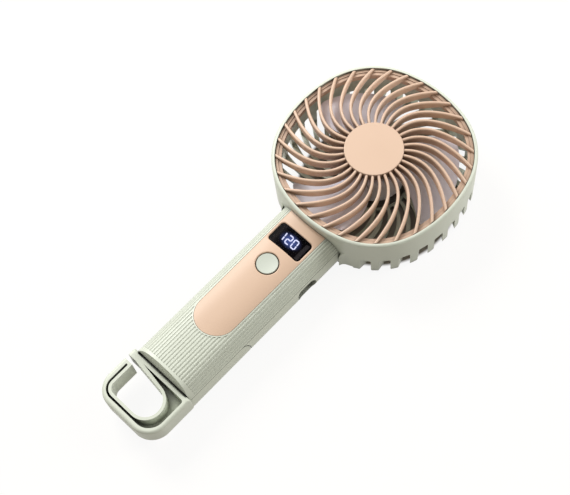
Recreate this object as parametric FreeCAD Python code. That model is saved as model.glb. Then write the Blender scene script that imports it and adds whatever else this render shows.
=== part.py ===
import FreeCAD
import Part
import math
import os

V = FreeCAD.Vector
X_AXIS = V(1, 0, 0)
Y_AXIS = V(0, 1, 0)
Z_AXIS = V(0, 0, 1)

# Handheld fan with a swirl grille and a fold-out hook stand, in millimetres.
# It lies on its back: X is its width, +Y runs up the handle to the head, +Z comes out of the front.

# Overall sizes
TOTAL_LENGTH = 215.6
HEAD_HALF = 46.7
CORNER_C = 7.6
CORNER_R = 38.0
HEAD_Y = TOTAL_LENGTH / 2 - HEAD_HALF
LIP_Z = 28.0
HUB_TOP_Z = 32.3

# Head housing
LIP_WALL = 1.65
SEAT_Z = 25.2
BORE_HALF = 43.6
FLOOR_T = 3.2
TEETH_TOP_Z = 11.5
REAR_CORNER_R = 1.2
RIB_COUNT = 32
PITCH = 360.0 / RIB_COUNT
REAR_RIBS = 33
REAR_PITCH = 360.0 / REAR_RIBS
REAR_PHASE = 6.5
REAR_RIB_SHARE = 0.42
REAR_HUB_R = 18.0
SLOT_TOP_R = 0.9
SLOT_FLARE = [(-0.3, 1.2), (0.6, 0.5), (2.2, -0.05)]
NECK_WALL_X = 26.5
NECK_WALL_Z = 2.0
DUCT_HALF = 2.6

# Swirl of the ribs: the lean grows from nothing at SWIRL_START until its tangent is SWIRL_LEAN
SWIRL_START = 16.0
SWIRL_RATE = 0.047
SWIRL_LEAN = 0.8

# Front grille
GRILLE_HALF = 44.75
RING_WIDTH = 2.9
RING_TOP_Z = 26.8
RING_STEP_X = 1.3
RING_STEP_Z = 0.4
HUB_R = 14.1
HUB_T = 4.8
RIB_W = 1.45
RIB_H = 4.8
DOME_HUB_Z = 31.9
DOME_MID_Z = 30.8
DOME_EDGE_Z = 28.3
SKIRT_HALF = 43.45
SKIRT_T = 1.1
SKIRT_Z = 22.4

# Handle
HANDLE_HALF = 18.5
BACK_Z = 5.3
BACK_CORNER_R = 3.2
CROWN = [(0.0, 23.5), (8.0, 22.8), (13.0, 20.6), (16.3, 16.2), (HANDLE_HALF, BACK_Z + BACK_CORNER_R)]
NECK_Y = HEAD_Y - HEAD_HALF
SHELL_TOP_Y = 18.2
TONGUE_Z = 9.2
SPLIT_Z = 13.9
SEAM = 0.12
FRONT_T = 2.0
REAR_T = 1.6
END_TOP_Y = -79.4
END_FRONT_Y = -81.0
END_FRONT_Z = 17.3
REED_PITCH = 1.6
REED_R = 0.62
REED_LIFT = 0.30
REED_COUNT = 28
REED_END_Y = -78.0

# Front panel, window and button
PANEL_T = 1.2
PANEL_HALF_TOP = 11.1
PANEL_HALF_LOW = 10.7
PANEL_ARC_Y = -45.4
PANEL_BEAD = 0.55
WINDOW_W = 19.0
WINDOW_H = 10.9
WINDOW_R = 1.7
WINDOW_Y = 2.9
WINDOW_DROP = 0.6
WINDOW_EDGE_R = 0.6
BUTTON_Y = -12.3
BUTTON_R = 5.2
BUTTON_GAP = 0.35

# Side port
PORT_Y = -6.0
PORT_Z = 9.5
PORT_L = 12.1
PORT_H = 6.4
PORT_DEPTH = 3.5

# Hook stand and its hinge
PIN_Y = HEAD_Y - 109.3
PIN_Z = BACK_Z + 4.3
BARREL_R = 4.15
BARREL_GAP = 0.45
KNUCKLE_HALF = 12.0
PIN_R = 1.5
PIN_END_X = 17.2
STAND_FLOOR_T = 2.0
STAND_GAP = 0.25
LOW_INSET = STAND_FLOOR_T + STAND_GAP
LOW_REAR_T = 1.4
HOOK_TOP_Y = -82.1
HOOK_LOW_Y = -TOTAL_LENGTH / 2
HOOK_FRONT_Z = 17.3
HOOK_CORNER_R = 10.5
HOOK_RIM = 2.7
HOOK_RIGHT_RIM = 2.2
HOOK_EDGE_R = 1.6
HOOK_WALL = 1.4
HOOK_WEB_Z = 9.0
EYE_Y = -94.9
EYE_X = 3.5
EYE_R = 7.7
EYE_LEFT_X = -13.3
EYE_RISE = 1.9
GAP_TOP_Y = -85.2
GAP_LOW_Y = -87.5

# Screws
SCREW_X = 9.5
TOP_SCREW_Y = 8.2
LOW_SCREW_Y = -76.6
SCREW_SEATS = [(TOP_SCREW_Y, BACK_Z + 1.5), (LOW_SCREW_Y, BACK_Z + LOW_INSET + 1.5)]
MOTOR_SCREW_R = 13.0
MOTOR_SCREW_ANGLES = [90, 210, 330]

# Motor and impeller
PLATE_T = 1.5
SHAFT_R = 1.0
BEARING_R = 2.5
TUBE_R = 3.6
TUBE_TOP_Z = 19.4
STATOR_R = 11.4
STATOR_Z = 9.0
STATOR_T = 6.5
POLES = 9
MAGNET_R = 13.0
MAGNET_T = 1.1
CUP_R = 13.6
CUP_Z = 7.0
CUP_TOP_Z = 21.4
HUB_CAP_R = 15.2
HUB_CAP_TOP_Z = 24.0
BLADES = 3
BLADE_T = 1.3
BLADE_TIP_R = 40.3
BLADE_REST = 26.0
BLADE_RISE = 0.19
BLADE_Z = 17.5
BLADE_CORNER_R = 4.5
HIGH_EDGE = [(13, 30), (17, 35), (21, 38.5), (25, 39), (29, 37), (33, 34), (37, 30), (BLADE_TIP_R, 26)]
LOW_EDGE = [
    (13, -14), (17, -19), (21, -23.5), (25, -28), (29, -32.5), (33, -36), (37, -39.5), (BLADE_TIP_R, -42),
]


# Basic solids
def cylinder(radius, z0, z1, x=0.0, y=0.0):
    return Part.makeCylinder(radius, z1 - z0, V(x, y, z0), Z_AXIS)


def ring(outer, inner, z0, z1, x=0.0, y=0.0):
    return cylinder(outer, z0, z1, x, y).cut(cylinder(inner, z0, z1, x, y))


def box(x0, x1, y0, y1, z0, z1):
    return Part.makeBox(x1 - x0, y1 - y0, z1 - z0, V(x0, y0, z0))


def prism(wire, height):
    return Part.Face(wire).extrude(V(0, 0, height))


def fuse_all(shapes):
    return shapes[0].multiFuse(shapes[1:]).removeSplitter()


def rotated(shape, angle, centre=V(0, 0, 0)):
    copy = shape.copy()
    copy.rotate(centre, Z_AXIS, angle)
    return copy


def moved(shape, x=0.0, y=0.0, z=0.0):
    copy = shape.copy()
    copy.translate(V(x, y, z))
    return copy


def spline(points):
    curve = Part.BSplineCurve()
    curve.interpolate(points)
    return curve.toShape()


def edge(a, b):
    return Part.LineSegment(a, b).toShape()


def arc(a, middle, b):
    return Part.Arc(a, middle, b).toShape()


# Rounded box outline in the XY plane
def rounded_wire(x0, x1, y0, y1, radii, z):
    low_left, low_right, top_right, top_left = radii
    corners = [
        (x0 + low_left, y0 + low_left, low_left, 180),
        (x1 - low_right, y0 + low_right, low_right, 270),
        (x1 - top_right, y1 - top_right, top_right, 0),
        (x0 + top_left, y1 - top_left, top_left, 90),
    ]
    arcs = []
    for cx, cy, radius, start in corners:
        turn = [math.radians(start + step) for step in (0, 45, 90)]
        a, m, b = [V(cx + radius * math.cos(t), cy + radius * math.sin(t), z) for t in turn]
        arcs.append((a, m, b))
    edges = []
    for index, (a, m, b) in enumerate(arcs):
        edges.append(arc(a, m, b))
        following = arcs[(index + 1) % 4][0]
        if b.distanceToPoint(following) > 1e-6:
            edges.append(edge(b, following))
    return Part.Wire(edges)


# Head outline: a circle squared off a little, with four flatter sides and four tighter corners
def head_wire(half, z):
    squarer = CORNER_C - HEAD_HALF + CORNER_R
    side_r = (CORNER_R ** 2 - (CORNER_C - HEAD_HALF) ** 2 - CORNER_C ** 2) / (2 * squarer)
    join = math.atan2(CORNER_C, CORNER_C - HEAD_HALF + side_r)
    shrink = HEAD_HALF - half
    edges = []
    for turn in range(4):
        side = (V(HEAD_HALF - side_r, 0, z), side_r - shrink, -join, join)
        corner = (V(CORNER_C, CORNER_C, z), CORNER_R - shrink, join, math.pi / 2 - join)
        for centre, radius, start, end in (side, corner):
            points = []
            for angle in (start, (start + end) / 2, end):
                points.append(centre + V(radius * math.cos(angle), radius * math.sin(angle), 0))
            edges.append(rotated(arc(*points), 90 * turn))
    return Part.Wire(edges)


def head_prism(half, z0, z1):
    return prism(head_wire(half, z0), z1 - z0)


# Angle in degrees by which a rib has swung clockwise at this radius
def sweep(radius):
    turn_r = SWIRL_START + SWIRL_LEAN / SWIRL_RATE
    bend_r = min(max(radius, SWIRL_START), turn_r)
    angle = SWIRL_RATE * ((bend_r - SWIRL_START) - SWIRL_START * math.log(bend_r / SWIRL_START))
    if radius > turn_r:
        angle += SWIRL_LEAN * math.log(radius / turn_r)
    return math.degrees(angle)


# Outline of a swirl slot seen from the front, with its two sides at this half angle from its middle
def swirl_wire(radii, middle, half_angle, z):
    sides = []
    for sign in (-1, 1):
        points = []
        for radius in radii:
            angle = math.radians(middle - sweep(radius) + sign * half_angle)
            points.append(V(radius * math.cos(angle), radius * math.sin(angle), z))
        sides.append(points)
    low, high = sides
    return Part.Wire([spline(low), edge(low[-1], high[-1]), spline(high[::-1]), edge(high[0], low[0])])


# Handle section: crowned front, upright sides and rounded back corners, set in by a wall thickness
def crown_points():
    return [V(-x, 0, z) for x, z in reversed(CROWN)] + [V(x, 0, z) for x, z in CROWN[1:]]


def crown_through(points):
    lengths = [0.0]
    for before, after in zip(points, points[1:]):
        lengths.append(lengths[-1] + before.distanceToPoint(after))
    curve = Part.BSplineCurve()
    curve.interpolate(
        Points=points,
        Parameters=lengths,
        InitialTangent=Z_AXIS,
        FinalTangent=-Z_AXIS,
        Scale=False,
    )
    return curve


def section_wire(inset, y):
    outer = crown_through(crown_points())
    points = []
    for point in crown_points():
        along = outer.tangent(outer.parameter(point))[0]
        inward = V(along.z, 0, -along.x)
        points.append(point + inward * inset + V(0, y, 0))
    crown = crown_through(points).toShape()
    left, right = points[0], points[-1]
    radius = BACK_CORNER_R - inset
    if radius < 0.3:
        a, b = V(right.x, y, BACK_Z), V(left.x, y, BACK_Z)
        return Part.Wire([crown, edge(right, a), edge(a, b), edge(b, left)])
    diagonal = radius * math.sqrt(0.5)
    right_low = right + V(-radius, 0, -radius)
    left_low = left + V(radius, 0, -radius)
    right_mid = right + V(diagonal - radius, 0, -diagonal)
    left_mid = left + V(radius - diagonal, 0, -diagonal)
    return Part.Wire([
        crown,
        arc(right, right_mid, right_low),
        edge(right_low, left_low),
        arc(left_low, left_mid, left),
    ])


def handle_body(inset, y0, y1):
    body = Part.Face(section_wire(inset, y0)).extrude(V(0, y1 - y0, 0))
    if inset > BACK_CORNER_R:
        body = body.common(box(-20, 20, y0, y1, BACK_Z + inset, 30))
    return body


# A cut that slopes the lower end of the front shell back towards the hook
def end_slope():
    profile = Part.makePolygon([
        V(-30, END_TOP_Y + 1.7, 30),
        V(-30, END_TOP_Y, CROWN[0][1]),
        V(-30, END_FRONT_Y, END_FRONT_Z),
        V(-30, END_FRONT_Y, 0),
        V(-30, END_FRONT_Y - 20, 0),
        V(-30, END_FRONT_Y - 20, 30),
        V(-30, END_TOP_Y + 1.7, 30),
    ])
    return Part.Face(profile).extrude(V(60, 0, 0))


# Front panel outline: straight sides that draw in a little, and a round lower end
def panel_prism(grow, z0, z1):
    top_y = SHELL_TOP_Y
    top = PANEL_HALF_TOP + grow
    low = PANEL_HALF_LOW + grow
    a, b = V(low, PANEL_ARC_Y, z0), V(top, top_y, z0)
    c, d = V(-top, top_y, z0), V(-low, PANEL_ARC_Y, z0)
    lowest = V(0, PANEL_ARC_Y - low, z0)
    return prism(Part.Wire([edge(a, b), edge(b, c), edge(c, d), arc(d, lowest, a)]), z1 - z0)


def window_prism(grow, z0, z1):
    half_w, half_h = WINDOW_W / 2 + grow, WINDOW_H / 2 + grow
    radius = WINDOW_R + grow
    wire = rounded_wire(-half_w, half_w, WINDOW_Y - half_h, WINDOW_Y + half_h, [radius] * 4, z0)
    return prism(wire, z1 - z0)


# Cylinder along X about the hinge pin
def hinge_round(radius, x0, x1):
    return Part.makeCylinder(radius, x1 - x0, V(x0, PIN_Y, PIN_Z), X_AXIS)


# Obround prism along X, for the side port
def obround_x(length, height, x0, x1):
    half, radius = length / 2 - height / 2, height / 2
    a, b = V(x0, PORT_Y - half, PORT_Z - radius), V(x0, PORT_Y + half, PORT_Z - radius)
    c, d = V(x0, PORT_Y + half, PORT_Z + radius), V(x0, PORT_Y - half, PORT_Z + radius)
    right = V(x0, PORT_Y + half + radius, PORT_Z)
    left = V(x0, PORT_Y - half - radius, PORT_Z)
    wire = Part.Wire([edge(a, b), arc(b, right, c), edge(c, d), arc(d, left, a)])
    return Part.Face(wire).extrude(V(x1 - x0, 0, 0))


# Head housing with its swirl-ribbed back, motor plate, cable duct and neck
def head_housing():
    cup = head_prism(HEAD_HALF, 0, LIP_Z)
    low_edges = [e for e in cup.Edges if e.BoundBox.ZMax < 0.01]
    cup = cup.makeFillet(REAR_CORNER_R, low_edges)
    top_edges = [e for e in cup.Edges if e.BoundBox.ZMin > LIP_Z - 0.01]
    cup = cup.makeFillet(1.3, top_edges)
    cup = cup.cut(head_prism(BORE_HALF, FLOOR_T, LIP_Z + 1))
    cup = cup.cut(head_prism(HEAD_HALF - LIP_WALL, SEAT_Z, LIP_Z + 1))
    slot, flare = rear_slot()
    for piece in (slot, flare):
        cup = cup.cut(Part.makeCompound([rotated(piece, REAR_PITCH * index) for index in range(REAR_RIBS)]))
    wall = head_prism(HEAD_HALF, NECK_WALL_Z, SPLIT_Z).cut(head_prism(BORE_HALF, 0, 30))
    wall = wall.common(box(-NECK_WALL_X, NECK_WALL_X, -60, -38, 0, 30))
    cup = moved(cup.fuse(wall), y=HEAD_Y)
    duct = box(-DUCT_HALF, DUCT_HALF, NECK_Y + 1.5, HEAD_Y - REAR_HUB_R + 1, 0.3, 5.4)
    duct = duct.cut(box(-1.3, 1.3, NECK_Y - 1, HEAD_Y - REAR_HUB_R + 2, FLOOR_T, 6))
    tongue = box(-13.0, 13.0, 4.0, NECK_Y + 2.4, TONGUE_Z, SPLIT_Z)
    passage = box(-3.0, 3.0, 0, HEAD_Y - 41, FLOOR_T + 2.2, SPLIT_Z - 2)
    body = fuse_all([cup, duct, tongue] + neck_gussets())
    pocket = box(-4, 4, BORE_HALF - 1, BORE_HALF + 0.7, 22.9, 24.3)
    pockets = [moved(rotated(pocket, 90 * turn), y=HEAD_Y) for turn in range(4)]
    body = body.cut(Part.makeCompound(pockets + [passage]))
    for x in (-SCREW_X, SCREW_X):
        body = body.cut(cylinder(1.35, 0, 20, x, TOP_SCREW_Y))
    for angle in MOTOR_SCREW_ANGLES:
        x, y = motor_screw_at(angle)
        body = body.cut(cylinder(2.05, -1, 1.9, x, y)).cut(cylinder(1.0, 0, 5, x, y))
    return body


# One gap between two rear ribs, rounded at its top, and its flare that rounds the ribs' outer edges
def rear_slot():
    half_gap = REAR_PITCH * (1 - REAR_RIB_SHARE) / 2
    middle = REAR_PITCH / 2 + REAR_PHASE
    radii = [REAR_HUB_R, 20, 25, 30, 36, 43, 53]
    slot = prism(swirl_wire(radii, middle, half_gap, -1), TEETH_TOP_Z + 1)
    roof = [e for e in slot.Edges if e.BoundBox.ZMin > TEETH_TOP_Z - 0.1 and e.Length > 10]
    slot = slot.makeFillet(SLOT_TOP_R, roof)
    wires = [swirl_wire(radii, middle, half_gap + more, z) for z, more in SLOT_FLARE]
    return slot, Part.makeLoft(wires, True, True)


# Small webs that fillet the head's wall into the sides of the handle
def neck_gussets():
    a, m, b = V(18.62, 15.2, NECK_WALL_Z), V(19.67, 17.06, NECK_WALL_Z), V(21.08, 17.97, NECK_WALL_Z)
    c, d = V(20.7, 18.9, NECK_WALL_Z), V(18.62, 18.3, NECK_WALL_Z)
    web = prism(Part.Wire([arc(a, m, b), edge(b, c), edge(c, d), edge(d, a)]), 20)
    slope = Part.Face(Part.makePolygon([
        V(10, 14, 0), V(10, 20, 0), V(10, 20, 17.9), V(10, 14, 9.3), V(10, 14, 0),
    ]))
    web = web.common(slope.extrude(V(20, 0, 0)))
    return [web, web.mirror(V(0, 0, 0), X_AXIS)]


def motor_screw_at(angle):
    turn = math.radians(angle)
    return MOTOR_SCREW_R * math.cos(turn), HEAD_Y + MOTOR_SCREW_R * math.sin(turn)


# Front grille: hub disc, ring and snap skirt, joined by round-topped ribs swept over a shallow dome
def swept_rib():
    dome = Part.Circle(V(13, 0, DOME_HUB_Z), V(30, 0, DOME_MID_Z), V(GRILLE_HALF, 0, DOME_EDGE_Z))
    crest = []
    for radius in (12.5, 15, 18, 22, 27, 33, 40, 49):
        turn = math.radians(-sweep(radius))
        z = dome.Center.z + math.sqrt(dome.Radius ** 2 - (radius - dome.Center.x) ** 2)
        crest.append(V(radius * math.cos(turn), radius * math.sin(turn), z))
    path = Part.Wire(spline(crest))
    start = crest[0]
    across = Z_AXIS.cross(path.Edges[0].tangentAt(path.Edges[0].FirstParameter)).normalize() * (RIB_W / 2)
    shoulder, foot = V(0, 0, -0.45 * RIB_W), V(0, 0, -RIB_H)
    left, right = start + across + shoulder, start - across + shoulder
    low_right, low_left = start - across * 0.85 + foot, start + across * 0.85 + foot
    outline = Part.Wire([
        arc(left, start, right),
        edge(right, low_right),
        edge(low_right, low_left),
        edge(low_left, left),
    ])
    pipe = Part.BRepOffsetAPI.MakePipeShell(path)
    pipe.setBiNormalMode(Z_AXIS)
    pipe.add(outline)
    pipe.build()
    pipe.makeSolid()
    return pipe.shape()


def front_grille():
    rib = swept_rib()
    reach = head_prism(GRILLE_HALF - 0.1, SEAT_Z + 0.05, 34)
    ribs = [rotated(rib, PITCH * (index + 0.5)).common(reach) for index in range(RIB_COUNT)]
    hub = cylinder(HUB_R, HUB_TOP_Z - HUB_T, HUB_TOP_Z)
    hub = hub.makeFillet(0.3, [e for e in hub.Edges if e.BoundBox.ZMin > HUB_TOP_Z - 0.01])
    rim = head_prism(GRILLE_HALF, SEAT_Z, RING_TOP_Z).cut(head_prism(GRILLE_HALF - RING_WIDTH, 20, 30))
    rim = rim.cut(head_prism(GRILLE_HALF - RING_STEP_X, RING_TOP_Z - RING_STEP_Z, 30))
    skirt = head_prism(SKIRT_HALF, SKIRT_Z, SEAT_Z + 0.5)
    skirt = skirt.cut(head_prism(SKIRT_HALF - SKIRT_T, 20, 30))
    snap = box(-3.5, 3.5, SKIRT_HALF - 0.6, SKIRT_HALF + 0.5, 23.1, 24.1)
    snaps = [rotated(snap, 90 * turn) for turn in range(4)]
    star = hub.fuse(Part.makeCompound(ribs))
    frame = rim.multiFuse([skirt] + snaps)
    return moved(frame.fuse(star).removeSplitter(), y=HEAD_Y)


# Impeller: hub cap and three broad pitched blades
def impeller():
    hub = cylinder(HUB_CAP_R, CUP_Z + 0.5, HUB_CAP_TOP_Z)
    hub = hub.makeFillet(2.2, [e for e in hub.Edges if e.BoundBox.ZMin > HUB_CAP_TOP_Z - 0.01])
    blades = []
    for index in range(BLADES):
        blades.append(rotated(blade(), BLADE_REST + 120 * index))
    body = hub.multiFuse(blades)
    body = body.cut(cylinder(CUP_R, 5, CUP_TOP_Z))
    return moved(body.removeSplitter(), y=HEAD_Y)


# One blade: a sheet that climbs evenly with its angle about the shaft, trimmed to its broad plan
def blade():
    sections = []
    for reach in (8.0, 24.0, BLADE_TIP_R + 1):
        upper = []
        for angle in (-49, -25, 0, 25, 49):
            upper.append(V(reach, reach * math.tan(math.radians(angle)), BLADE_RISE * angle))
        lower = [point - V(0, 0, BLADE_T) for point in upper]
        sections.append(Part.Wire([
            spline(upper),
            edge(upper[-1], lower[-1]),
            spline(lower[::-1]),
            edge(lower[0], upper[0]),
        ]))
    sheet = moved(Part.makeLoft(sections, True, False), z=BLADE_Z)
    high, low = [[polar(radius, angle, 2) for radius, angle in side] for side in (HIGH_EDGE, LOW_EDGE)]
    tip = arc(low[-1], polar(BLADE_TIP_R, (LOW_EDGE[-1][1] + HIGH_EDGE[-1][1]) / 2, 2), high[-1])
    trim = prism(Part.Wire([spline(low), tip, spline(high[::-1]), edge(high[0], low[0])]), 25)
    shaft = Part.Vertex(V(0, 0, 10))
    corners = [e for e in trim.Edges if e.BoundBox.ZLength > 20 and e.distToShape(shaft)[0] > 30]
    trim = trim.makeFillet(BLADE_CORNER_R, corners)
    return sheet.common(trim).cut(cylinder(HUB_CAP_R - 1.0, 0, 30))


def polar(radius, angle, z):
    turn = math.radians(angle)
    return V(radius * math.cos(turn), radius * math.sin(turn), z)


# Motor pieces
def motor_base():
    plate = cylinder(REAR_HUB_R - 1.3, FLOOR_T, FLOOR_T + PLATE_T)
    tube = cylinder(TUBE_R, FLOOR_T, TUBE_TOP_Z)
    body = plate.fuse(tube).cut(cylinder(BEARING_R, FLOOR_T + 0.8, TUBE_TOP_Z + 1))
    body = moved(body.cut(box(-1.2, 1.2, -20, -9.8, 0, 10)), y=HEAD_Y)
    for angle in MOTOR_SCREW_ANGLES:
        x, y = motor_screw_at(angle)
        body = body.cut(cylinder(1.0, 0, 10, x, y))
    return body


def motor_board():
    return ring(9.3, TUBE_R, FLOOR_T + PLATE_T, FLOOR_T + PLATE_T + 0.8, y=HEAD_Y)


def stator_core():
    yoke = cylinder(6.0, STATOR_Z, STATOR_Z + STATOR_T)
    shoes = cylinder(STATOR_R, STATOR_Z, STATOR_Z + STATOR_T).cut(cylinder(STATOR_R - 1.2, 0, 30))
    slit = box(STATOR_R - 1.4, STATOR_R + 1, -0.6, 0.6, 0, 30)
    slits = [rotated(slit, 40 * index + 20) for index in range(POLES)]
    tooth = box(5.0, STATOR_R - 0.8, -1.0, 1.0, STATOR_Z, STATOR_Z + STATOR_T)
    teeth = [rotated(tooth, 40 * index) for index in range(POLES)]
    body = yoke.multiFuse([shoes.cut(Part.makeCompound(slits))] + teeth).removeSplitter()
    return moved(body.cut(cylinder(TUBE_R, 0, 30)), y=HEAD_Y)


def stator_windings():
    coil = box(6.1, STATOR_R - 1.5, -1.9, 1.9, STATOR_Z - 0.8, STATOR_Z + STATOR_T + 0.8)
    coil = coil.makeFillet(0.6, [e for e in coil.Edges if abs(e.tangentAt(e.FirstParameter).x) > 0.9])
    coil = coil.cut(box(5.0, STATOR_R, -1.0, 1.0, STATOR_Z, STATOR_Z + STATOR_T))
    coils = [moved(rotated(coil, 40 * index), y=HEAD_Y) for index in range(POLES)]
    return Part.makeCompound(coils)


def motor_bearings():
    low = ring(BEARING_R, SHAFT_R + 0.03, FLOOR_T + 0.8, FLOOR_T + 3.3, y=HEAD_Y)
    high = ring(BEARING_R, SHAFT_R + 0.03, TUBE_TOP_Z - 2.7, TUBE_TOP_Z - 0.2, y=HEAD_Y)
    return Part.makeCompound([low, high])


def motor_shaft():
    shaft = cylinder(SHAFT_R, FLOOR_T + 0.95, CUP_TOP_Z, y=HEAD_Y)
    return shaft.makeChamfer(0.2, [e for e in shaft.Edges if e.BoundBox.ZMax < FLOOR_T + 1.0])


def rotor_cup():
    cup = cylinder(CUP_R, CUP_Z, CUP_TOP_Z).cut(cylinder(MAGNET_R, 5, CUP_TOP_Z - 0.8))
    return moved(cup.cut(cylinder(SHAFT_R, 0, 30)), y=HEAD_Y)


def rotor_magnet():
    return ring(MAGNET_R, MAGNET_R - MAGNET_T, CUP_Z + 0.6, CUP_Z + 9.6, y=HEAD_Y)


def motor_screws():
    screws = []
    for angle in MOTOR_SCREW_ANGLES:
        x, y = motor_screw_at(angle)
        head = cylinder(1.9, 0.6, 1.9, x, y).cut(cylinder(0.8, 0, 1.3, x, y))
        screws.append(head.fuse(cylinder(1.0, 1.9, FLOOR_T + PLATE_T, x, y)).removeSplitter())
    return Part.makeCompound(screws)


# Space of the head's outline, which the upper ends of the shells and the panel follow
def head_space():
    return moved(head_prism(HEAD_HALF + SEAM, -1, 40), y=HEAD_Y)


# Handle front shell: crowned, reeded lengthwise, with the panel recess and its bead
def reed_places():
    curve = crown_through(crown_points())
    first, last = curve.FirstParameter, curve.LastParameter
    middle = curve.parameter(V(0, 0, CROWN[0][1]))
    places = []
    for direction in (1, -1):
        parameter = middle
        reach = REED_PITCH / 2
        for index in range(REED_COUNT // 2):
            here = curve.value(parameter)
            while curve.value(parameter).distanceToPoint(here) < reach and first < parameter < last:
                parameter += direction * (last - first) / 4000
            if not first < parameter < last:
                break
            along = curve.tangent(parameter)[0]
            places.append(curve.value(parameter) + V(-along.z, 0, along.x) * REED_LIFT)
            reach = REED_PITCH
    return places


def reed_grooves():
    grooves = []
    for point in reed_places():
        if point.z > SPLIT_Z + 0.7:
            start = V(point.x, REED_END_Y, point.z)
            grooves.append(Part.makeCylinder(REED_R, NECK_Y + 5 - REED_END_Y, start, Y_AXIS))
    return Part.makeCompound(grooves).cut(panel_prism(PANEL_BEAD, 10, 40))


def handle_front_shell():
    shell = handle_body(0, END_FRONT_Y, SHELL_TOP_Y)
    shell = shell.cut(handle_body(FRONT_T, END_FRONT_Y + 3.4, SHELL_TOP_Y + 1))
    shell = shell.cut(end_slope()).cut(head_space())
    shell = shell.cut(box(-30, 30, -120, 60, 0, SPLIT_Z + SEAM))
    bosses, pilots = [], []
    for x in (-SCREW_X, SCREW_X):
        for y in (TOP_SCREW_Y, LOW_SCREW_Y):
            post = cylinder(2.4, SPLIT_Z + SEAM, 26, x, y).common(handle_body(PANEL_T + 0.2, -90, 40))
            bosses.append(post)
            pilots.append(cylinder(1.1, 0, SPLIT_Z + 4.0, x, y))
    shell = shell.multiFuse(bosses).cut(Part.makeCompound(pilots))
    shell = shell.cut(reed_grooves())
    shell = shell.cut(panel_prism(0, 10, 40).cut(handle_body(PANEL_T, -80, 40)))
    shell = shell.cut(window_prism(-0.6, 10, 40))
    return shell.cut(cylinder(BUTTON_R + BUTTON_GAP, 10, 40, 0, BUTTON_Y))


# Space that the stand's round lugs turn in: round above the pin, square below it on the head side
def lug_space(radius, x0, x1):
    return hinge_round(radius, x0, x1).fuse(box(x0, x1, PIN_Y, PIN_Y + radius, 0, PIN_Z))


# Handle rear shell: full section above the hinge, set in below it to lie inside the stand
def handle_rear_shell():
    body = handle_body(0, PIN_Y, SHELL_TOP_Y).fuse(handle_body(LOW_INSET, END_FRONT_Y, PIN_Y))
    body = body.common(box(-30, 30, -120, 60, 0, SPLIT_Z - SEAM)).cut(head_space())
    cavity = handle_body(REAR_T, PIN_Y, SHELL_TOP_Y + 1)
    low_cavity = handle_body(LOW_INSET + LOW_REAR_T, END_FRONT_Y + LOW_REAR_T, PIN_Y)
    cavity = cavity.fuse(low_cavity)
    wall = BARREL_R + BARREL_GAP + 1.2
    inner = KNUCKLE_HALF - 1.2
    housings = [lug_space(wall, -17.5, -inner), lug_space(wall, inner, 17.5)]
    knuckle = hinge_round(BARREL_R, -KNUCKLE_HALF, KNUCKLE_HALF)
    body = body.cut(cavity.cut(Part.makeCompound(housings + [knuckle])))
    crests = [h.common(handle_body(LOW_INSET, PIN_Y - 10, PIN_Y + 10)) for h in housings]
    pad_x = HANDLE_HALF - PORT_DEPTH - 1.6
    pad = box(pad_x, HANDLE_HALF, PORT_Y - 7.6, PORT_Y + 7.6, BACK_Z + 1.0, SPLIT_Z - SEAM)
    pad = pad.common(handle_body(0, PORT_Y - 8, PORT_Y + 8))
    posts = []
    for x in (-SCREW_X, SCREW_X):
        posts.append(cylinder(2.7, BACK_Z + 1.0, TONGUE_Z - 0.1, x, TOP_SCREW_Y))
        posts.append(cylinder(2.7, BACK_Z + LOW_INSET + 1.0, SPLIT_Z - SEAM, x, LOW_SCREW_Y))
    body = body.multiFuse(crests + [knuckle, pad] + posts)
    gap_r = BARREL_R + BARREL_GAP
    body = body.cut(lug_space(gap_r, -30, -KNUCKLE_HALF)).cut(lug_space(gap_r, KNUCKLE_HALF, 30))
    body = body.cut(hinge_round(PIN_R + 0.02, -30, 30))
    body = body.cut(obround_x(PORT_L, PORT_H, HANDLE_HALF - PORT_DEPTH, 30))
    body = body.cut(obround_x(9.2, 3.5, 10, 30))
    for x in (-SCREW_X, SCREW_X):
        for y, seat in SCREW_SEATS:
            body = body.cut(cylinder(2.1, 0, seat, x, y)).cut(cylinder(1.25, 0, 20, x, y))
    return body.removeSplitter()


# Hook eye outline: straight left side and bottom, a round right end and a roof that falls to the right
def eye_prism(grow, z0, z1):
    radius = EYE_R + grow
    left = EYE_LEFT_X - grow
    roof_left = EYE_Y + EYE_R + EYE_RISE + grow
    corner = 3.6 + grow
    tilt = math.atan2(EYE_RISE, EYE_X - EYE_LEFT_X)
    top = V(EYE_X + radius * math.sin(tilt), EYE_Y + radius * math.cos(tilt), z0)
    side = V(EYE_X + radius * math.cos(0.3), EYE_Y - radius * math.sin(0.3), z0)
    low = V(EYE_X, EYE_Y - radius, z0)
    corner_end = V(left + corner, EYE_Y - radius, z0)
    corner_mid = V(left + corner * (1 - math.sqrt(0.5)), EYE_Y - radius + corner * (1 - math.sqrt(0.5)), z0)
    corner_top = V(left, EYE_Y - radius + corner, z0)
    roof = V(left, roof_left, z0)
    wire = Part.Wire([
        edge(roof, top),
        arc(top, side, low),
        edge(low, corner_end),
        arc(corner_end, corner_mid, corner_top),
        edge(corner_top, roof),
    ])
    return prism(wire, z1 - z0)


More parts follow.
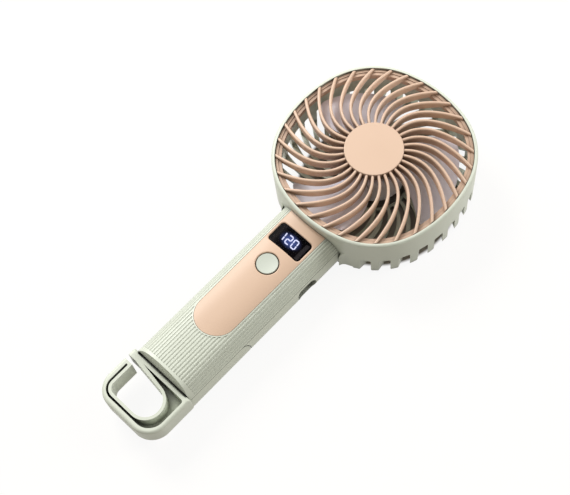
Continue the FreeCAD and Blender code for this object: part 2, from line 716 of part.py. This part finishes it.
# Hook stand: a tray that clasps the back of the handle and ends in the hook
def hook_stand():
    tray = handle_body(0, END_FRONT_Y - 2, PIN_Y)
    tray = tray.common(box(-30, 30, -120, 60, 0, SPLIT_Z - SEAM))
    inner = handle_body(STAND_FLOOR_T, END_FRONT_Y - 0.15, PIN_Y + 1)
    inner_half = HANDLE_HALF - STAND_FLOOR_T
    upright = box(-inner_half, inner_half, END_FRONT_Y - 0.15, PIN_Y + 1, BACK_Z + BACK_CORNER_R, 30)
    tray = tray.cut(inner.fuse(upright))
    lugs = []
    for side in (-1, 1):
        x0, x1 = sorted((side * (KNUCKLE_HALF + 0.3), side * HANDLE_HALF))
        lugs.append(hinge_round(BARREL_R, x0, x1).common(handle_body(0, PIN_Y - 5, PIN_Y + 5)))
    radii = [HOOK_CORNER_R, HOOK_CORNER_R, 0.6, 0.6]
    block_top = END_FRONT_Y - 0.15
    outline = rounded_wire(-HANDLE_HALF, HANDLE_HALF, HOOK_LOW_Y, block_top, radii, BACK_Z)
    block = prism(outline, HOOK_FRONT_Z - BACK_Z)
    block = block.makeFillet(HOOK_EDGE_R, [
        e for e in block.Edges
        if e.BoundBox.ZMin > HOOK_FRONT_Z - 0.01 and e.BoundBox.YMin < HOOK_TOP_Y - 0.5
    ])
    low_edges = [
        e for e in block.Edges
        if e.BoundBox.ZMax < BACK_Z + 0.01 and e.BoundBox.YMin < HOOK_TOP_Y - 0.5
    ]
    block = block.makeFillet(1.6, low_edges)
    left, right = HOOK_RIM - HANDLE_HALF, HANDLE_HALF - HOOK_RIGHT_RIM
    low, top = HOOK_LOW_Y + HOOK_RIM, HOOK_TOP_Y - 1.7
    outline = rounded_wire(left, right, low, top, [6.1, 8.3, 1.6, 0.5], HOOK_WEB_Z)
    roof = Part.makePolygon([
        V(-17, -82.7, 0), V(4.5, -85.86, 0), V(4.5, -88.9, 0), V(-17, -88.9, 0), V(-17, -82.7, 0),
    ])
    web = prism(outline, 20).cut(eye_prism(HOOK_WALL, 0, 40)).cut(prism(roof, 40))
    tip_end = GAP_LOW_Y - 1.4
    web = web.cut(box(-30, EYE_LEFT_X - HOOK_WALL + 0.01, tip_end, 0, 0, 40))
    block = block.cut(web).cut(eye_prism(0, 0, 40))
    block = block.cut(box(-30, EYE_LEFT_X + 0.5, GAP_LOW_Y, GAP_TOP_Y, 0, 40))
    slit_low = HOOK_TOP_Y
    slit = box(-15.2, 15.2, slit_low, block_top + 1, BACK_Z + STAND_FLOOR_T, 30)
    for x in (-15.2, 15.2):
        slit = slit.fuse(cylinder(0.6, BACK_Z + STAND_FLOOR_T, 30, x, slit_low + 0.6))
    body = fuse_all([tray, block.cut(slit)] + lugs)
    gap_r = BARREL_R + BARREL_GAP
    gap_x = KNUCKLE_HALF + 0.3
    body = body.cut(box(-gap_x, gap_x, PIN_Y - gap_r, PIN_Y + gap_r, 0, 30))
    body = body.cut(hinge_round(PIN_R + 0.03, -PIN_END_X - 0.15, PIN_END_X + 0.15))
    return body


def hinge_pin():
    pin = hinge_round(PIN_R, -PIN_END_X, PIN_END_X)
    return pin.makeChamfer(0.3, pin.Edges[:1] + pin.Edges[-1:])


def friction_washers():
    washers = []
    for side in (-1, 1):
        x0, x1 = sorted((side * KNUCKLE_HALF, side * (KNUCKLE_HALF + 0.25)))
        washers.append(hinge_round(3.4, x0, x1).cut(hinge_round(PIN_R, -30, 30)))
    return Part.makeCompound(washers)


# Panel, window, button and the boards behind them
def front_panel():
    panel = panel_prism(-0.15, 10, 40).common(handle_body(0.05, PANEL_ARC_Y - 15, SHELL_TOP_Y))
    panel = panel.cut(handle_body(PANEL_T, -80, 40)).cut(head_space())
    panel = panel.cut(window_prism(0.1, 10, 40))
    panel = panel.cut(cylinder(BUTTON_R + BUTTON_GAP, 10, 40, 0, BUTTON_Y))
    return panel.makeFillet(WINDOW_EDGE_R, [e for e in panel.Edges if is_hole_rim(e)])


# Front edges of the window hole and the button hole
def is_hole_rim(e):
    limits = e.BoundBox
    inside = limits.XMax < 10 and limits.XMin > -10 and limits.YMax < 9 and limits.YMin > -18.5
    middle = e.valueAt((e.FirstParameter + e.LastParameter) / 2)
    crown = crown_through(crown_points())
    depth = crown.toShape().distToShape(Part.Vertex(V(middle.x, 0, middle.z)))[0]
    return inside and limits.ZLength < 1.0 and depth < 0.3


def display_window():
    pane = window_prism(0, 10, 40).common(handle_body(WINDOW_DROP, -20, 20))
    return pane.cut(handle_body(PANEL_T - 0.02, -80, 40))


def power_button():
    flange = cylinder(6.2, 20.1, 20.9, 0, BUTTON_Y)
    stem = cylinder(1.5, 19.8, 20.1, 0, BUTTON_Y)
    cap = cylinder(BUTTON_R, 20.1, 23.35, 0, BUTTON_Y)
    cap = cap.makeFillet(0.5, [e for e in cap.Edges if e.BoundBox.ZMin > 23.3])
    dish = Part.makeSphere(40, V(0, BUTTON_Y, 23.35 - 0.35 + 40))
    return cap.fuse(flange).fuse(stem).removeSplitter().cut(dish)


def switch_plunger():
    return cylinder(1.6, 18.4, 19.8, 0, BUTTON_Y)


def button_switch():
    case = box(-3.0, 3.0, BUTTON_Y - 3.0, BUTTON_Y + 3.0, 17.3, 19.1)
    return case.cut(cylinder(1.7, 17.8, 20, 0, BUTTON_Y))


def display_board():
    board = box(-12.5, 12.5, -21.0, 9.5, 16.3, 17.3)
    for x in (-SCREW_X, SCREW_X):
        corner = box(*sorted((x, 2 * x)), 7.0, 10, 16, 18)
        board = board.cut(cylinder(2.6, 16, 18, x, TOP_SCREW_Y)).cut(corner)
    return board


def display_module():
    return box(-8.4, 8.4, WINDOW_Y - 4.6, WINDOW_Y + 4.6, 17.3, 21.1)


def main_board():
    z0 = BACK_Z + REAR_T
    board = box(-14.0, 13.1, -14.0, 3.4, z0, z0 + 1.0)
    return board


def usb_socket():
    z0 = BACK_Z + REAR_T + 1.0
    body = box(8.0, 14.6, PORT_Y - 4.4, PORT_Y + 4.4, z0, z0 + 3.2)
    body = body.makeFillet(1.4, [e for e in body.Edges if abs(e.tangentAt(e.FirstParameter).x) > 0.9])
    mouth = box(9.8, 17, PORT_Y - 4.0, PORT_Y + 4.0, z0 + 0.4, z0 + 2.8)
    mouth = mouth.makeFillet(1.1, [e for e in mouth.Edges if abs(e.tangentAt(e.FirstParameter).x) > 0.9])
    tab = box(9.3, 13.7, PORT_Y - 3.2, PORT_Y + 3.2, z0 + 1.25, z0 + 1.95)
    return body.cut(mouth).fuse(tab).removeSplitter()


def battery_upper():
    z0 = BACK_Z + REAR_T
    cell = box(-13.5, 13.5, -40.6, -15.0, z0, z0 + 9.0)
    return cell.makeFillet(2.0, [e for e in cell.Edges if abs(e.tangentAt(e.FirstParameter).y) > 0.9])


def battery_lower():
    z0 = BACK_Z + STAND_FLOOR_T + STAND_GAP + 1.4
    cell = box(-12.5, 12.5, -73.4, -55.2, z0, z0 + 8.0)
    return cell.makeFillet(2.0, [e for e in cell.Edges if abs(e.tangentAt(e.FirstParameter).y) > 0.9])


def shell_screws():
    screws = []
    for x in (-SCREW_X, SCREW_X):
        for y, seat in SCREW_SEATS:
            head = cylinder(2.0, seat - 1.2, seat, x, y).cut(cylinder(0.8, 0, seat - 0.6, x, y))
            shank = cylinder(1.1, seat, SPLIT_Z + 4.0, x, y)
            screws.append(head.fuse(shank).removeSplitter())
    return Part.makeCompound(screws)


# Lead from the motor through the duct and the neck to the main board
def motor_lead():
    radius = 0.9
    a, b = V(0, HEAD_Y - 10.0, FLOOR_T + radius), V(0, 22.0, FLOOR_T + radius)
    c = V(0, 16.0, 8.8)
    d = V(0, 1.5, 8.8)
    route = fillet_route([a, b, c, d], 4.0)
    return tube_along(route, radius)


# Lead from the lower cell over the hinge knuckle to the upper cell
def battery_lead():
    radius = 0.7
    low, high = 13.2, 15.2
    corners = [(-55.2, low), (-53.7, low), (-52.0, high), (-43.8, high), (-42.3, low), (-40.6, low)]
    route = fillet_route([V(6, y, z) for y, z in corners], 1.2)
    return tube_along(route, radius)


def fillet_route(points, radius):
    edges = []
    start = points[0]
    for before, corner, after in zip(points, points[1:], points[2:]):
        into = (corner - before).normalize()
        out = (after - corner).normalize()
        half_turn = into.getAngle(out) / 2
        reach = radius * math.tan(half_turn)
        a, b = corner - into * reach, corner + out * reach
        inward = (out - into).normalize()
        middle = corner + inward * (radius / math.cos(half_turn) - radius)
        edges.append(edge(start, a))
        edges.append(arc(a, middle, b))
        start = b
    edges.append(edge(start, points[-1]))
    return Part.Wire(edges)


def tube_along(route, radius):
    first = route.OrderedEdges[0]
    start = first.valueAt(first.FirstParameter)
    direction = first.tangentAt(first.FirstParameter)
    profile = Part.Wire(Part.makeCircle(radius, start, direction))
    return route.makePipeShell([profile], True, False)


NODES = {
    "head_housing": head_housing,
    "front_grille": front_grille,
    "impeller": impeller,
    "rotor_cup": rotor_cup,
    "rotor_magnet": rotor_magnet,
    "motor_shaft": motor_shaft,
    "motor_base": motor_base,
    "motor_board": motor_board,
    "motor_bearings": motor_bearings,
    "stator_core": stator_core,
    "stator_windings": stator_windings,
    "motor_screws": motor_screws,
    "motor_lead": motor_lead,
    "handle_front_shell": handle_front_shell,
    "handle_rear_shell": handle_rear_shell,
    "shell_screws": shell_screws,
    "front_panel": front_panel,
    "display_window": display_window,
    "display_module": display_module,
    "display_board": display_board,
    "power_button": power_button,
    "switch_plunger": switch_plunger,
    "button_switch": button_switch,
    "main_board": main_board,
    "usb_socket": usb_socket,
    "battery_upper": battery_upper,
    "battery_lower": battery_lower,
    "battery_lead": battery_lead,
    "hook_stand": hook_stand,
    "hinge_pin": hinge_pin,
    "friction_washers": friction_washers,
}

os.makedirs("parts", exist_ok=True)
for name, make in NODES.items():
    make().exportStep("parts/" + name + ".step")
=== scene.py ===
import math

import bmesh
import bpy
from mathutils import Matrix, Vector


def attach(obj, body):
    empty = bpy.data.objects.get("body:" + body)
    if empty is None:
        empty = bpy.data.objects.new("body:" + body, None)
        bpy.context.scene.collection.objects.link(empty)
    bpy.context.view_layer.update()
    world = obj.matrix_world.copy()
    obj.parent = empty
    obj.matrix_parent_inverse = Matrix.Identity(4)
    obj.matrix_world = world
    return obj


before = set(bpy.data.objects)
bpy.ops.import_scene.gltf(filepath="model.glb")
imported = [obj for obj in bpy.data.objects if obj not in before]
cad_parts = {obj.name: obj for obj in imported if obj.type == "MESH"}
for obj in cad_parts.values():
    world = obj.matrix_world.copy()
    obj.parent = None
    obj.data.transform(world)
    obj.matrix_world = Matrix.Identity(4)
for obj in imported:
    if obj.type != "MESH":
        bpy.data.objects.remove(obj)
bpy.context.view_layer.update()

MM = 0.001
HEAD_Y = 61.1  # the head's middle, in millimetres up the fan
WHITE = "#FFFFFF"

# Sockets of the Mix node in colour mode, where the names stand more than once
MIX_SHARE, MIX_FIRST, MIX_SECOND, MIX_COLOUR = 0, 6, 7, 2


def linear(hex_colour):
    channels = [int(hex_colour[i:i + 2], 16) / 255 for i in (1, 3, 5)]
    return tuple(
        c / 12.92 if c <= 0.04045 else ((c + 0.055) / 1.055) ** 2.4 for c in channels
    ) + (1.0,)


def add_node(tree, kind, settings=None, links=None):
    node = tree.nodes.new(kind)
    for name, value in (settings or {}).items():
        if isinstance(name, int) or name in node.inputs:
            node.inputs[name].default_value = value
        else:
            setattr(node, name, value)
    for name, socket in (links or {}).items():
        tree.links.new(socket, node.inputs[name])
    return node


def new_material(name):
    material = bpy.data.materials.new(name)
    material.use_nodes = True
    tree = material.node_tree
    tree.nodes.clear()
    return material, tree


# Spark texture is about 0.1 mm on a real mould. It is drawn coarser, so that it shows
SPARK_MM, SPARK_DEPTH_MM = 0.45, 0.01
CLOUD_MM = 14  # width of the faint clouds that pigment leaves in a moulding
GLOSS_SPREAD = 0.05
ABS_IOR = 1.52


# Moulded ABS. The grain breaks up the highlight, and the pigment clouds from the colour to the
# deeper one. Grooves, seams and pockets get painted shade: ambient occlusion mixes them towards
# the shade colour, so that reeds and joints read as crisp dark lines. Reach is how near a wall
# has to be for the painted shade, and depth how strong it gets
def satin_abs(name, colour, deeper, painted_shade, roughness=0.45, reach_mm=4.0, depth=0.9):
    material, tree = new_material(name)
    where = add_node(tree, "ShaderNodeTexCoord").outputs["Object"]
    cloud = add_node(
        tree, "ShaderNodeTexNoise", {"Scale": 1 / (CLOUD_MM * MM), "Detail": 2.0}, {"Vector": where}
    )
    grain = add_node(
        tree, "ShaderNodeTexNoise", {"Scale": 1 / (SPARK_MM * MM), "Detail": 3.0}, {"Vector": where}
    )
    pigment = add_node(
        tree,
        "ShaderNodeMix",
        {"data_type": "RGBA", MIX_FIRST: linear(colour), MIX_SECOND: linear(deeper)},
        {MIX_SHARE: cloud.outputs["Fac"]},
    )
    gloss = add_node(
        tree,
        "ShaderNodeMapRange",
        {"To Min": roughness - GLOSS_SPREAD, "To Max": roughness + GLOSS_SPREAD},
        {"Value": grain.outputs["Fac"]},
    )
    # Painted shade: near walls, ambient occlusion mixes the colour towards the dark shade colour
    openness = add_node(
        tree, "ShaderNodeAmbientOcclusion", {"samples": 6, "Distance": reach_mm * MM}
    )
    lit = add_node(
        tree, "ShaderNodeMath", {"operation": "POWER", 1: depth}, {0: openness.outputs["AO"]}
    )
    tint = add_node(
        tree,
        "ShaderNodeMix",
        {"data_type": "RGBA", MIX_FIRST: linear(painted_shade)},
        {MIX_SHARE: lit.outputs["Value"], MIX_SECOND: pigment.outputs[MIX_COLOUR]},
    )
    relief = add_node(
        tree,
        "ShaderNodeBump",
        {"Strength": 0.1, "Distance": SPARK_DEPTH_MM * MM},
        {"Height": grain.outputs["Fac"]},
    )
    shader = add_node(
        tree,
        "ShaderNodeBsdfPrincipled",
        {"IOR": ABS_IOR},
        {
            "Base Color": tint.outputs[MIX_COLOUR],
            "Roughness": gloss.outputs["Result"],
            "Normal": relief.outputs["Normal"],
        },
    )
    add_node(tree, "ShaderNodeOutputMaterial", {}, {"Surface": shader.outputs["BSDF"]})
    return material


# Sage ABS from a spark-textured mould: pale grey-green with an even, soft sheen; painted shade
# in its grooves and seams
sage = satin_abs("sage_abs_spark_textured", "#DEE3D4", "#D8DDCD", "#2E3024")
# The same on the back shell, with deeper painted shade: its port and screw wells read nearly black
rear_sage_painted_deep_shade = satin_abs(
    "sage_abs_spark_textured_rear_painted_deep_shade", "#DEE3D4", "#D8DDCD", "#2E3024", reach_mm=6.0, depth=2.0
)
# Sage ABS from a smoother mould: the key is a shade greyer than the shells and a little glossier
key_sage = satin_abs("sage_abs_smooth_moulded", "#CFD5C8", "#C9CFC2", "#2E3024", roughness=0.4)
# Satin peach ABS, flat inlay: an even warm surface, with painted shade only right at its edges
inlay_peach = satin_abs(
    "peach_abs_satin_inlay", "#DDBEA4", "#D8B99F", "#5E3C26", roughness=0.48, reach_mm=1.6,
    depth=0.7,
)
# Satin peach ABS, open ribs: bright round tops over flanks that fall into shade, deepened to warm
# brown by painted shade
rib_peach = satin_abs(
    "peach_abs_satin", "#E1C2A9", "#DCBDA4", "#5A3820", roughness=0.45, reach_mm=4.0, depth=1.2
)
# Mauve ABS from a smooth mould: pale, slightly glossy blades, with faint painted shade at walls
mauve = satin_abs(
    "mauve_abs_moulded", "#F0EDF6", "#EAE7F1", "#8C7F8A", roughness=0.34, reach_mm=1.0, depth=0.3
)

# Drawn, rolled and cast surfaces have a grain of about 0.05 mm, drawn coarser so that it shows
FITTING_GRAIN_MM, FITTING_DEPTH_MM = 0.4, 0.01


# Inner pieces and fittings: one colour, with a fine grain that softens the highlight
def fitting(name, colour, roughness, metallic=0.0):
    material, tree = new_material(name)
    where = add_node(tree, "ShaderNodeTexCoord").outputs["Object"]
    grain = add_node(
        tree,
        "ShaderNodeTexNoise",
        {"Scale": 1 / (FITTING_GRAIN_MM * MM), "Detail": 2.0},
        {"Vector": where},
    )
    relief = add_node(
        tree,
        "ShaderNodeBump",
        {"Strength": 0.1, "Distance": FITTING_DEPTH_MM * MM},
        {"Height": grain.outputs["Fac"]},
    )
    shader = add_node(
        tree,
        "ShaderNodeBsdfPrincipled",
        {"Base Color": linear(colour), "Roughness": roughness, "Metallic": metallic},
        {"Normal": relief.outputs["Normal"]},
    )
    add_node(tree, "ShaderNodeOutputMaterial", {}, {"Surface": shader.outputs["BSDF"]})
    return material


# Smoked acrylic, cast: a clear pane with a faint soft sheen, dark because little is lit behind it
def smoked_acrylic():
    material, tree = new_material("smoked_acrylic")
    clear = add_node(tree, "ShaderNodeBsdfTransparent", {"Color": linear("#BCB8BC")})
    sheen = add_node(
        tree, "ShaderNodeBsdfGlossy", {"Color": linear(WHITE), "Roughness": 0.25}
    )
    share = add_node(tree, "ShaderNodeFresnel", {"IOR": 1.06})
    pane = add_node(
        tree,
        "ShaderNodeMixShader",
        {},
        {0: share.outputs["Fac"], 1: clear.outputs["BSDF"], 2: sheen.outputs["BSDF"]},
    )
    add_node(tree, "ShaderNodeOutputMaterial", {}, {"Surface": pane.outputs["Shader"]})
    return material


# The haze round the lit digits: its middle, and how far it spreads each way, in millimetres. The
# last number is large, so that height makes no difference
HAZE_MIDDLE = Vector((-0.4, 3.5, 21.1)) * MM
HAZE_SPREAD = Vector((7.0, 4.6, 100.0)) * MM


# Display glass, printed black: near black, with a blue haze that fades away from the digits
def display_glass():
    material, tree = new_material("lit_display_glass")
    where = add_node(tree, "ShaderNodeTexCoord").outputs["Object"]
    offset = add_node(
        tree, "ShaderNodeVectorMath", {"operation": "SUBTRACT", 1: HAZE_MIDDLE}, {0: where}
    )
    scaled = add_node(
        tree,
        "ShaderNodeVectorMath",
        {"operation": "DIVIDE", 1: HAZE_SPREAD},
        {0: offset.outputs["Vector"]},
    )
    away = add_node(
        tree, "ShaderNodeVectorMath", {"operation": "LENGTH"}, {0: scaled.outputs["Vector"]}
    )
    haze = add_node(
        tree,
        "ShaderNodeMapRange",
        {
            "interpolation_type": "SMOOTHERSTEP",
            "From Min": 1.0,
            "From Max": 0.1,
            "To Min": 0.0,
            "To Max": 1.9,
        },
        {"Value": away.outputs["Value"]},
    )
    shader = add_node(
        tree,
        "ShaderNodeBsdfPrincipled",
        {
            "Base Color": linear("#08080C"),
            "Roughness": 0.3,
            "Emission Color": linear("#6079C4"),
        },
        {"Emission Strength": haze.outputs["Result"]},
    )
    add_node(tree, "ShaderNodeOutputMaterial", {}, {"Surface": shader.outputs["BSDF"]})
    return material


# Lit segments: cool white light, bright enough to read through the smoked pane
def lit_segments():
    material, tree = new_material("lit_segments")
    light = add_node(
        tree, "ShaderNodeEmission", {"Color": linear("#DCE9FF"), "Strength": 4.5}
    )
    add_node(tree, "ShaderNodeOutputMaterial", {}, {"Surface": light.outputs["Emission"]})
    return material


# Nylon, moulded: dull dark grey with a warm cast
black_nylon = fitting("black_nylon", "#55514A", 0.5)
# Solder mask, screen printed: deep green with a lacquered shine
solder_mask = fitting("green_solder_mask", "#1F5A33", 0.3)
# Copper wire, enamelled and wound: warm metal under a thin gloss
copper = fitting("enamelled_copper_wire", "#B86A3C", 0.35, metallic=1.0)
# Steel, bright zinc plated: clean pale metal with a soft-edged reflection
steel = fitting("zinc_plated_steel", "#B9BABD", 0.3, metallic=1.0)
# Electrical steel, stamped: greyer and duller metal
lamination = fitting("stamped_steel_lamination", "#8C8D90", 0.45, metallic=1.0)
# Ferrite, sintered: charcoal grey and matt
ferrite = fitting("sintered_ferrite", "#3A3A3D", 0.6)
# Aluminium pouch foil, pressed: light satin metal
foil = fitting("aluminium_pouch_foil", "#C9CACD", 0.35, metallic=1.0)
# PVC sheath, extruded: saturated red with a mild shine
sheath = fitting("red_pvc_sheath", "#B3241C", 0.4)
# Natural nylon, stamped washers: milky white
natural_nylon = fitting("natural_nylon", "#E9E7DE", 0.4)
# White ABS, moulded: the display's case, which bounces the segments' light
display_white = fitting("white_abs_moulded", "#DADDE2", 0.4)
# The display's printed borders, seen dimly through the pane. Painted light and shade: the left
# one is darker brown and the right one a lighter grey, for how light falls on the curved pane
left_border = fitting("printed_border_painted_shade", "#4A3E2E", 0.5)
right_border = fitting("printed_border_painted_light", "#A3A89E", 0.5)

FINISHES = {
    "head_housing": sage, "handle_front_shell": sage, "handle_rear_shell": rear_sage_painted_deep_shade,
    "power_button": key_sage, "hook_stand": sage, "front_grille": rib_peach,
    "front_panel": inlay_peach, "impeller": mauve, "display_window": smoked_acrylic(),
    "display_module": display_white, "display_board": solder_mask, "main_board": solder_mask,
    "motor_board": solder_mask, "button_switch": steel, "switch_plunger": black_nylon,
    "motor_base": black_nylon, "stator_core": lamination, "stator_windings": copper,
    "rotor_cup": steel, "rotor_magnet": ferrite, "motor_shaft": steel, "motor_bearings": steel,
    "motor_screws": steel, "shell_screws": steel, "hinge_pin": steel, "usb_socket": steel,
    "battery_upper": foil, "battery_lower": foil, "battery_lead": sheath, "motor_lead": sheath,
    "friction_washers": natural_nylon,
}
for name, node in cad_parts.items():
    for slot in node.material_slots:
        slot.material = FINISHES[name]


# Sheets on the display: each outline, in millimetres, becomes a plate with its top at this height
def sheets(name, outlines, top, thickness, material):
    plates = bmesh.new()
    for outline in outlines:
        low = plates.faces.new(
            [plates.verts.new((x * MM, y * MM, (top - thickness) * MM)) for x, y in outline]
        )
        raised = bmesh.ops.extrude_face_region(plates, geom=[low])["geom"]
        upper = [item for item in raised if isinstance(item, bmesh.types.BMVert)]
        bmesh.ops.translate(plates, verts=upper, vec=(0, 0, thickness * MM))
    bmesh.ops.recalc_face_normals(plates, faces=plates.faces)
    mesh = bpy.data.meshes.new(name)
    plates.to_mesh(mesh)
    plates.free()
    mesh.materials.append(material)
    piece = bpy.data.objects.new(name, mesh)
    bpy.context.collection.objects.link(piece)
    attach(piece, "fan_body")


# What shows through the window, in millimetres: the module's face, and on it the black glass
MODULE_LEFT, MODULE_RIGHT = -8.4, 8.4
GLASS_LEFT, GLASS_RIGHT = -7.0, 6.4
FACE_LOW, FACE_HIGH = -1.7, 7.5
# Tops of the stack on the module, whose face is at 21.10
BORDER_TOP, GLASS_TOP, DIGITS_TOP = 21.14, 21.18, 21.22
BORDER_THICK, GLASS_THICK, DIGITS_THICK = 0.04, 0.03, 0.03


def face_between(left, right):
    return [(left, FACE_LOW), (right, FACE_LOW), (right, FACE_HIGH), (left, FACE_HIGH)]


# Seven-segment digits, whose tops lean a little to the left
DIGIT_LOW, DIGIT_HIGH, DIGIT_WIDTH, DIGIT_LEAN = 1.35, 5.75, 2.35, -0.11
STROKE, STROKE_GAP = 0.62, 0.04
SEGMENTS = {
    "1": ["right_high", "right_low"],
    "2": ["top", "right_high", "middle", "left_low", "bottom"],
    "0": ["top", "right_high", "right_low", "bottom", "left_low", "left_high"],
}
READING = [("1", -6.3), ("2", -2.3), ("0", 1.33)]  # each digit and its left edge


def digit(character, left):
    def at(column, row):
        y = DIGIT_LOW + (DIGIT_HIGH - DIGIT_LOW) * row / 2
        return Vector((left + DIGIT_WIDTH * column + DIGIT_LEAN * (y - DIGIT_LOW), y))

    ends = {
        "top": (at(0, 2), at(1, 2)),
        "middle": (at(0, 1), at(1, 1)),
        "bottom": (at(0, 0), at(1, 0)),
        "left_high": (at(0, 1), at(0, 2)),
        "right_high": (at(1, 1), at(1, 2)),
        "left_low": (at(0, 0), at(0, 1)),
        "right_low": (at(1, 0), at(1, 1)),
    }
    outlines = []
    for segment in SEGMENTS[character]:
        start, end = ends[segment]
        along = (end - start).normalized()
        side = Vector((-along.y, along.x)) * STROKE / 2
        slope = along * STROKE / 2
        start, end = start + along * STROKE_GAP, end - along * STROKE_GAP
        outlines.append([
            start, start + slope - side, end - slope - side,
            end, end - slope + side, start + slope + side,
        ])
    return outlines


sheets(
    "display_rim_left", [face_between(MODULE_LEFT, 0)], BORDER_TOP, BORDER_THICK, left_border
)
sheets(
    "display_rim_right", [face_between(0, MODULE_RIGHT)], BORDER_TOP, BORDER_THICK, right_border
)
sheets(
    "display_glass", [face_between(GLASS_LEFT, GLASS_RIGHT)], GLASS_TOP, GLASS_THICK,
    display_glass(),
)
strokes = [outline for character, left in READING for outline in digit(character, left)]
sheets("display_digits", strokes, DIGITS_TOP, DIGITS_THICK, lit_segments())


# 1 for the rays that show the background itself: to the camera, in gloss and through glass
def background_rays(tree):
    path = add_node(tree, "ShaderNodeLightPath")
    seen = add_node(
        tree,
        "ShaderNodeMath",
        {"operation": "MAXIMUM"},
        {0: path.outputs["Is Camera Ray"], 1: path.outputs["Is Glossy Ray"]},
    )
    seen = add_node(
        tree,
        "ShaderNodeMath",
        {"operation": "MAXIMUM"},
        {0: seen.outputs["Value"], 1: path.outputs["Is Transmission Ray"]},
    )
    return seen.outputs["Value"]


# Where no shadow falls, this share of the glow and the rest of the lit table come to white
GLOW_SHARE, GLOW_STRENGTH = 0.78, 1.16
# Painted shadow: the table goes from grey to white between these distances from a point near
# the head's middle
SHADOW_MIDDLE = Vector((5.0, HEAD_Y - 3.5, 0)) * MM
SHADOW_END_MM, WHITE_START_MM = 39, 40.5


# A pale matt table: white all round the object with a faint shadow, and a painted shadow of warm
# grey under the head, so that the rear slots look into shade. From underneath it is clear, and
# hides no joint
def table_top():
    material, tree = new_material("pale_table")
    matt = add_node(tree, "ShaderNodeBsdfDiffuse", {"Color": linear("#B8B2A8")})
    glow = add_node(
        tree, "ShaderNodeEmission", {"Color": linear(WHITE), "Strength": GLOW_STRENGTH}
    )
    where = add_node(tree, "ShaderNodeTexCoord").outputs["Object"]
    from_head = add_node(
        tree, "ShaderNodeVectorMath", {"operation": "DISTANCE", 1: SHADOW_MIDDLE}, {0: where}
    )
    # Painted shadow: inside this ring the table shows its own lit grey, and outside it glows white
    white_ring = add_node(
        tree,
        "ShaderNodeMapRange",
        {
            "From Min": SHADOW_END_MM * MM,
            "From Max": WHITE_START_MM * MM,
            "To Min": 0.0,
            "To Max": GLOW_SHARE,
        },
        {"Value": from_head.outputs["Value"]},
    )
    share = add_node(
        tree,
        "ShaderNodeMath",
        {"operation": "MULTIPLY"},
        {0: background_rays(tree), 1: white_ring.outputs["Result"]},
    )
    above = add_node(
        tree,
        "ShaderNodeMixShader",
        {},
        {0: share.outputs["Value"], 1: matt.outputs["BSDF"], 2: glow.outputs["Emission"]},
    )
    below = add_node(tree, "ShaderNodeBsdfTransparent")
    side = add_node(tree, "ShaderNodeNewGeometry").outputs["Backfacing"]
    both = add_node(
        tree,
        "ShaderNodeMixShader",
        {},
        {0: side, 1: above.outputs["Shader"], 2: below.outputs["BSDF"]},
    )
    add_node(tree, "ShaderNodeOutputMaterial", {}, {"Surface": both.outputs["Shader"]})
    return material


# The table is 8 m wide and lies 0.2 mm under the fan, so that no two faces coincide
TABLE_WIDTH, TABLE_HEIGHT_MM = 8, -0.2
bpy.ops.mesh.primitive_plane_add(size=TABLE_WIDTH, location=(0, 0, TABLE_HEIGHT_MM * MM))
table = bpy.context.object
table.name = "table_top"
table.data.materials.append(table_top())

# The room: white where the camera, gloss and glass show it, and a dim warm light on everything
world = bpy.data.worlds.new("studio")
bpy.context.scene.world = world
world.use_nodes = True
tree = world.node_tree
tree.nodes.clear()
room = add_node(tree, "ShaderNodeBackground", {"Color": linear("#FFFBF4"), "Strength": 0.36})
backdrop = add_node(tree, "ShaderNodeBackground", {"Color": linear(WHITE), "Strength": 1.0})
studio = add_node(
    tree,
    "ShaderNodeMixShader",
    {},
    {
        0: background_rays(tree),
        1: room.outputs["Background"],
        2: backdrop.outputs["Background"],
    },
)
add_node(tree, "ShaderNodeOutputWorld", {}, {"Surface": studio.outputs["Shader"]})

SOFTBOX_SIZE = 0.5


# A square softbox that faces the fan's middle and stays out of the camera's view
def softbox(name, place, watts):
    light = bpy.data.lights.new(name, "AREA")
    light.shape = "SQUARE"
    light.size = SOFTBOX_SIZE
    light.energy = watts
    holder = bpy.data.objects.new(name, light)
    holder.location = place
    holder.rotation_euler = (-Vector(place)).to_track_quat("-Z", "Y").to_euler()
    holder.visible_camera = False
    bpy.context.collection.objects.link(holder)


softbox("key", (-0.80, 0.15, 0.70), 10.4)
softbox("fill", (0.45, 0.75, 0.50), 4.5)

# The camera, at the photograph's angle and distance
AZIMUTH, ELEVATION, ROLL = math.radians(53.15), math.radians(65.5), math.radians(10.43)
CAMERA_PLACE = (0.1823, -0.1372, 0.5215)
SENSOR_MM, FRAME_PX, FOCAL_PX = 36.0, 570, 1185.5
forward = Vector((
    -math.sin(AZIMUTH) * math.cos(ELEVATION),
    math.cos(AZIMUTH) * math.cos(ELEVATION),
    -math.sin(ELEVATION),
))
right = forward.cross(Vector((0, 0, 1))).normalized()
level_up = right.cross(forward)
up = level_up * math.cos(ROLL) + right * math.sin(ROLL)
across = forward.cross(up)
lens = bpy.data.cameras.new("camera")
lens.sensor_fit = "HORIZONTAL"
lens.sensor_width = SENSOR_MM
lens.lens = SENSOR_MM * FOCAL_PX / FRAME_PX
lens.clip_start = 0.01
camera = bpy.data.objects.new("camera", lens)
turn = Matrix((across, up, -forward)).transposed()
camera.matrix_world = Matrix.Translation(CAMERA_PLACE) @ turn.to_4x4()
bpy.context.collection.objects.link(camera)
bpy.context.scene.camera = camera

bpy.context.scene.view_settings.view_transform = "Standard"
